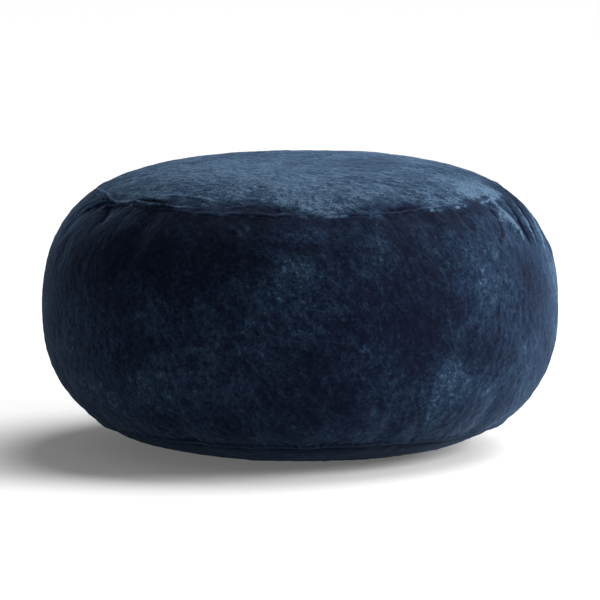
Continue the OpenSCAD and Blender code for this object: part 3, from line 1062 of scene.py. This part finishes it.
def make_liner_bag():
    rings = 60
    share, turn = disc_points(rings)
    disc = disc_faces(rings)
    liner_piece("liner_bag_top", "liner_top_panel", share * (TOP_SEAM - LINER_GAP), turn, disc)
    base_arc = ARC_END - share * (ARC_END - BASE_SEAM - LINER_GAP)
    liner_piece("liner_bag_base", "liner_base_panel", base_arc, turn, [face[::-1] for face in disc])
    columns = 360
    side_arc = np.repeat(np.linspace(TOP_SEAM + LINER_GAP, BASE_SEAM - LINER_GAP, rings), columns)
    side_turn = np.tile(np.arange(columns) * 1.0, rings)
    side = band_faces(rings, columns, True)
    liner_piece("liner_bag_side", "liner_side_panel", side_arc, side_turn, side)


def make_liner_stitching():
    """The overlocked edge inside each round seam: a thread that runs to and fro across it."""
    loops = 740
    phase = np.linspace(0, 2 * np.pi * loops, 6 * loops)
    turn = np.degrees(phase / loops)
    shapes = []
    for seam in (TOP_SEAM, BASE_SEAM):
        arc = seam + OVERLOCK_REACH * np.sin(phase)
        rise = soft_rise(arc, turn) - OVERLOCK_DEPTH + 0.2 * MM * np.cos(2 * phase)
        path = on_surface(arc, turn, rise)
        guides = on_surface(arc, turn, rise + MM) - path
        shapes.append(tubes(path[None], guides[None], OVERLOCK_RADIUS, 4))
    overlock = tube_piece("liner_overlock", shapes)
    finish_piece(overlock, "liner_thread", ["liner_seam_stitching"])


def make_foam():
    """The shredded foam as one lumpy mass that fills the liner."""
    arc, turn, faces = closed_shell(rings=62, rows=70)
    points = on_surface(arc, turn, 0)
    lumps = 2.2 * MM * (1 - crumple(points, 26 * MM, 95)) + 1.2 * MM * (1 - crumple(points, 12 * MM, 96))
    placed = on_surface(arc, turn, soft_rise(arc, turn) - FOAM_DEPTH - lumps)
    placed[:, 2] = np.maximum(placed[:, 2], FOAM_DEPTH + lumps)
    foam = make_mesh("foam_lumps", placed, faces)
    turn_out(foam)
    cut_slot(foam, LINER_ZIP_HALF + 6 * MM, 4.3 * MM, 10.8 * MM)
    finish_piece(foam, "foam", ["foam_fill"])


# ---- Materials ----

def new_material(name, roughness, **settings):
    """A material with one Principled shader, whose even values are set on the shader itself."""
    material = bpy.data.materials.new(name)
    material.use_nodes = True
    shader = material.node_tree.nodes["Principled BSDF"]
    shader.inputs["Roughness"].default_value = roughness
    for key, value in settings.items():
        shader.inputs[key.replace("_", " ")].default_value = value
    return material, material.node_tree, shader


def add_node(tree, kind, links=(), **values):
    """A node with its settings, and links given as input name to output socket."""
    node = tree.nodes.new(kind)
    for key, value in values.items():
        if hasattr(node, key):
            setattr(node, key, value)
        else:
            node.inputs[key.replace("_", " ")].default_value = value
    for key, socket in dict(links).items():
        tree.links.new(socket, node.inputs[key])
    return node


def object_place(tree):
    return add_node(tree, "ShaderNodeTexCoord").outputs["Object"]


def grain(tree, place, **settings):
    return add_node(tree, "ShaderNodeTexNoise", {"Vector": place}, **settings).outputs["Fac"]


def combine(tree, operation, first, second, **settings):
    links = {0: first, 1: second}
    return add_node(tree, "ShaderNodeMath", links, operation=operation, **settings).outputs[0]


def spread(tree, value, low, high, to_low, to_high):
    """Moves a value from one range to another."""
    return add_node(tree, "ShaderNodeMapRange", {"Value": value}, From_Min=low, From_Max=high,
                    To_Min=to_low, To_Max=to_high).outputs[0]


def paint(tree, shader, factor, stops):
    """Colours a shader by a ramp over a factor, from (position, colour) stops."""
    node = add_node(tree, "ShaderNodeValToRGB", {"Fac": factor})
    points = node.color_ramp.elements
    while len(points) < len(stops):
        points.new(0.5)
    for point, (position, colour) in zip(points, stops):
        point.position = position
        point.color = (*colour, 1)
    tree.links.new(node.outputs["Color"], shader.inputs["Base Color"])


def add_relief(tree, shader, height, strength, depth):
    """Bumps, whose depth is in millimetres."""
    bump = add_node(tree, "ShaderNodeBump", {"Height": height}, Strength=strength, Distance=depth * MM)
    tree.links.new(bump.outputs[0], shader.inputs["Normal"])


def plush_material(name, sheen):
    """Navy short-pile plush, coloured by its tone attribute, which holds the pile's own brushed tone
    together with painted light and painted shade.
    """
    material, tree, shader = new_material(name, 0.85, Specular_IOR_Level=0.02, Sheen_Weight=sheen,
                                          Sheen_Roughness=0.26, Sheen_Tint=(0.26, 0.42, 0.68, 1))
    place = object_place(tree)
    nap_and_light = add_node(tree, "ShaderNodeAttribute", attribute_name="nap_and_light").outputs["Fac"]
    fibres = grain(tree, place, Scale=420, Detail=6, Roughness=0.85, Distortion=0.3)
    tufts = grain(tree, place, Scale=200, Detail=5, Roughness=0.8, Distortion=0.3)
    mixed = combine(tree, "ADD", fibres, tufts)
    uneven = spread(tree, mixed, 0.75, 1.25, -0.36, 0.36)
    paint(tree, shader, combine(tree, "ADD", nap_and_light, uneven, use_clamp=True), (
        (0, (0.0036, 0.0042, 0.0105)),
        (0.35, (0.0050, 0.0085, 0.021)),
        (0.75, (0.0150, 0.031, 0.060)),
        # The lightest stop is the colour of the lit top: painted light, reached where light is painted into
        # the tone
        (1, (0.076, 0.127, 0.191))))
    add_relief(tree, shader, mixed, 0.9, 1)
    return material


def woven_material(name, dark, light, roughness, depth):
    """A plain weave over UVs in metres."""
    material, tree, shader = new_material(name, roughness)
    place = add_node(tree, "ShaderNodeTexCoord").outputs["UV"]
    across, along = (add_node(tree, "ShaderNodeTexWave", {"Vector": place}, Scale=0.31 / TAPE_THREAD,
                              Distortion=0.6, Detail=1, bands_direction=way).outputs["Fac"] for way in "XY")
    fuzz = grain(tree, object_place(tree), Scale=900, Detail=3)
    mixed = combine(tree, "ADD", combine(tree, "MULTIPLY", across, along), fuzz)
    paint(tree, shader, mixed, ((0.35, dark), (1, light)))
    add_relief(tree, shader, mixed, 0.6, depth)
    return material


def spotted_material(name, dark, light, scale, roughness, depth, kind="ShaderNodeTexNoise"):
    """A material with an even grain: noise, or cells, in the object's own space."""
    material, tree, shader = new_material(name, roughness)
    place = object_place(tree)
    output = "Fac" if kind == "ShaderNodeTexNoise" else "Distance"
    spots = add_node(tree, kind, {"Vector": place}, Scale=scale).outputs[output]
    patches = grain(tree, place, Scale=scale / 9, Detail=3)
    paint(tree, shader, combine(tree, "MULTIPLY", spots, patches), ((0.08, dark), (0.5, light)))
    add_relief(tree, shader, spots, 0.5, depth)
    return material


def metal_material():
    """Nickel plating on a small die casting: slightly uneven gloss and a fine grain."""
    material, tree, shader = new_material("nickel_plating", 0.3, Metallic=1)
    place = object_place(tree)
    wear = grain(tree, place, Scale=260, Detail=5, Roughness=0.7)
    paint(tree, shader, wear, ((0.35, (0.42, 0.42, 0.41)), (0.6, (0.66, 0.66, 0.65))))
    tree.links.new(spread(tree, wear, 0.35, 0.65, 0.42, 0.24), shader.inputs["Roughness"])
    add_relief(tree, shader, grain(tree, place, Scale=1400, Detail=3), 0.15, 0.05)
    return material


TAPE_THREAD = 0.5 * MM
CELLS = "ShaderNodeTexVoronoi"
# One material for each slot, and one of its own for the base panel: a copy with less sheen, so that the
# base shows darker, as painted shade under the cushion
MATERIALS = {
    "plush": plush_material("navy_plush", sheen=0.4),
    # Less sheen: painted shade on the base panel
    "cover_base": plush_material("navy_plush_shaded_base", sheen=0.3),
    "zip_metal": metal_material(),
    "zip_tape": woven_material("navy_zip_tape", (0.003, 0.006, 0.015), (0.014, 0.024, 0.05), 0.8, 0.15),
    "liner_zip_tape": woven_material("white_zip_tape", (0.55, 0.55, 0.54), (0.84, 0.84, 0.82), 0.85, 0.12),
}
# Slot, name, dark and light colours, scale, roughness and depth of the relief in millimetres
for slot, *values in (
    ("thread", "navy_thread", (0.004, 0.008, 0.02), (0.012, 0.022, 0.05), 2600, 0.7, 0.1),
    ("zip_coil", "navy_nylon", (0.004, 0.007, 0.018), (0.01, 0.018, 0.04), 700, 0.38, 0.02),
    ("label", "satin_label", (0.6, 0.6, 0.57), (0.78, 0.78, 0.75), 1500, 0.45, 0.05),
    ("liner_cloth", "spun_bonded_cloth", (0.62, 0.62, 0.6), (0.82, 0.82, 0.8), 600, 0.9, 0.2, CELLS),
    ("liner_thread", "white_thread", (0.66, 0.66, 0.64), (0.84, 0.84, 0.82), 2600, 0.75, 0.1),
    ("liner_zip_coil", "white_nylon", (0.7, 0.7, 0.68), (0.86, 0.86, 0.84), 700, 0.4, 0.02),
    ("foam", "shredded_foam", (0.42, 0.33, 0.17), (0.8, 0.7, 0.48), 420, 0.95, 0.8, CELLS),
):
    MATERIALS[slot] = spotted_material(*values)

disc_panel("cover_top", "cover_top_panel", TOP_SEAM, rings=160, from_base=False)
disc_panel("cover_base", "cover_base_panel", ARC_END - BASE_SEAM, rings=114, from_base=True)
side_panel("cover_side_left", "cover_side_panel_left", SIDE_SEAM_TURN - 180)
side_panel("cover_side_right", "cover_side_panel_right", SIDE_SEAM_TURN)
make_seam_threads()
make_cover_zip()
make_care_label()
make_liner_bag()
make_liner_stitching()
make_liner_zip()
make_foam()


# ---- Studio ----

VIEW_DISTANCE = 16
VIEW_ELEVATION = math.radians(8)
AIM = Vector((0, 0, 0.2535))
WIDTH_SHARE = 515 / 600               # how much of the frame's width the cushion takes


def make_floor():
    size = 30
    corners = [(-size, -size, 0), (size, -size, 0), (size, size, 0), (-size, size, 0)]
    floor = make_mesh("studio_floor", corners, [(0, 1, 2, 3)])
    material, _, _ = new_material("studio_paper", 0.9, Base_Color=(0.76, 0.76, 0.76, 1),
                                  Emission_Color=(1, 1, 1, 1), Emission_Strength=0.12)
    floor.data.materials.append(material)


def place_looking(name, data, place, aim):
    """A light or camera at a place, looking at a point."""
    piece = add_object(name, data)
    piece.location = place
    piece.rotation_euler = (Vector(aim) - Vector(place)).to_track_quat("-Z", "Y").to_euler()
    return piece


def make_lights():
    """A broad soft light from above and behind, and a weaker one low on the right."""
    sun = bpy.data.lights.new("overhead", "SUN")
    sun.angle = math.radians(50)
    sun.energy = 3.75
    place_looking("overhead", sun, (1.8, 1.4, 3.4), (0, 0, 0))
    lamp = bpy.data.lights.new("right", "AREA")
    lamp.shape = "DISK"
    lamp.size = 1.6
    lamp.energy = 145
    place_looking("right", lamp, (3, -0.5, 1.3), (0, 0, 0.25))


def make_world():
    world = bpy.data.worlds.new("studio")
    world.use_nodes = True
    background = world.node_tree.nodes["Background"].inputs
    background["Color"].default_value = (1, 1, 1, 1)
    background["Strength"].default_value = 0.15
    bpy.context.scene.world = world


def make_camera():
    """The photograph's view: square on to the front, 8 degrees above the horizon."""
    data = bpy.data.cameras.new("camera")
    data.sensor_width = 36
    sight = math.sqrt(VIEW_DISTANCE ** 2 - RADIUS ** 2)
    data.lens = data.sensor_width / 2 * WIDTH_SHARE * sight / RADIUS
    data.clip_end = 100
    place = AIM + VIEW_DISTANCE * Vector((0, -math.cos(VIEW_ELEVATION), math.sin(VIEW_ELEVATION)))
    bpy.context.scene.camera = place_looking("camera", data, place, AIM)


make_camera()
make_world()
make_floor()
make_lights()
bpy.context.scene.view_settings.view_transform = "Standard"
